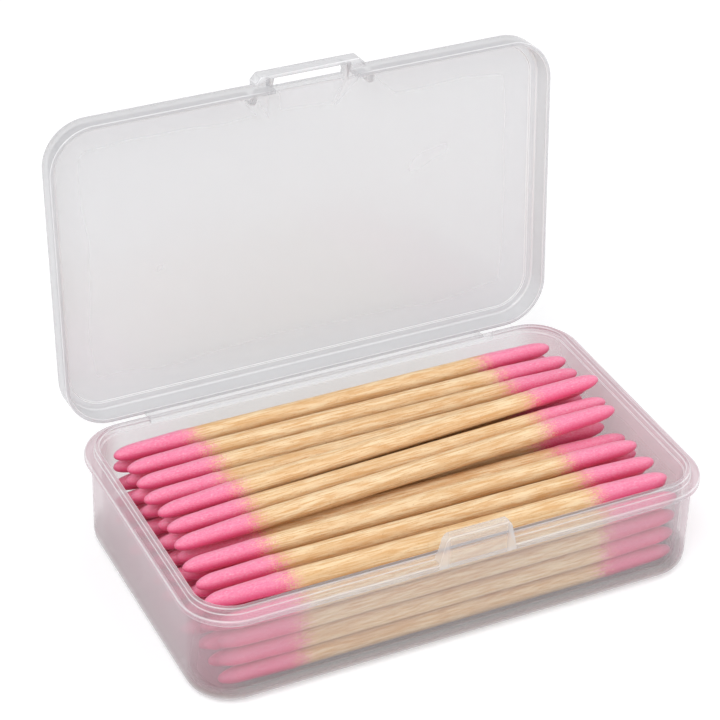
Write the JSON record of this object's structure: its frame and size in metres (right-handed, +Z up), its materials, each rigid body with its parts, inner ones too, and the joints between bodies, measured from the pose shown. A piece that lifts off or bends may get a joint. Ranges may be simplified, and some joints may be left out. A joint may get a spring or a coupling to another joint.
{
  "type": "cotton swab box",
  "caption": "Low translucent plastic box with a hinged snap lid standing open, filled with wooden swabs that have pink cotton tips at both ends.",
  "frame": {"origin": "middle of the tray's underside", "axes": "+X along the box, -Y towards the catch at the front, +Y towards the hinge, +Z up"},
  "size_m": [0.086, 0.0629, 0.0672],
  "materials": {
    "clear_plastic": "smooth, translucent, colourless",
    "birch_stick": "bare, fine straight grain",
    "pink_cotton": "matt, tightly wound, dyed pink"
  },
  "bodies": {
    "tray": {"tray": "clear_plastic", "living_hinge": "clear_plastic", "layer_1_sticks": "birch_stick", "layer_2_sticks": "birch_stick", "layer_3_sticks": "birch_stick", "layer_4_sticks": "birch_stick", "top_swab_01_stick": "birch_stick", "top_swab_02_stick": "birch_stick", "top_swab_03_stick": "birch_stick", "top_swab_04_stick": "birch_stick", "top_swab_05_stick": "birch_stick", "top_swab_06_stick": "birch_stick", "top_swab_07_stick": "birch_stick", "top_swab_08_stick": "birch_stick", "top_swab_09_stick": "birch_stick", "top_swab_10_stick": "birch_stick", "layer_1_tips": "pink_cotton", "layer_2_tips": "pink_cotton", "layer_3_tips": "pink_cotton", "layer_4_tips": "pink_cotton", "top_swab_01_tips": "pink_cotton", "top_swab_02_tips": "pink_cotton", "top_swab_03_tips": "pink_cotton", "top_swab_04_tips": "pink_cotton", "top_swab_05_tips": "pink_cotton", "top_swab_06_tips": "pink_cotton", "top_swab_07_tips": "pink_cotton", "top_swab_08_tips": "pink_cotton", "top_swab_09_tips": "pink_cotton", "top_swab_10_tips": "pink_cotton"},
    "lid": {"lid": "clear_plastic"}
  },
  "joints": [
    {"name": "lid_hinge", "type": "hinge", "parent": "tray", "child": "lid", "pos_m": [0, 0.026, 0.01485], "axis": [1, 0, 0], "range_deg": [-85, 95], "deforming": ["living_hinge"]}
  ]
}
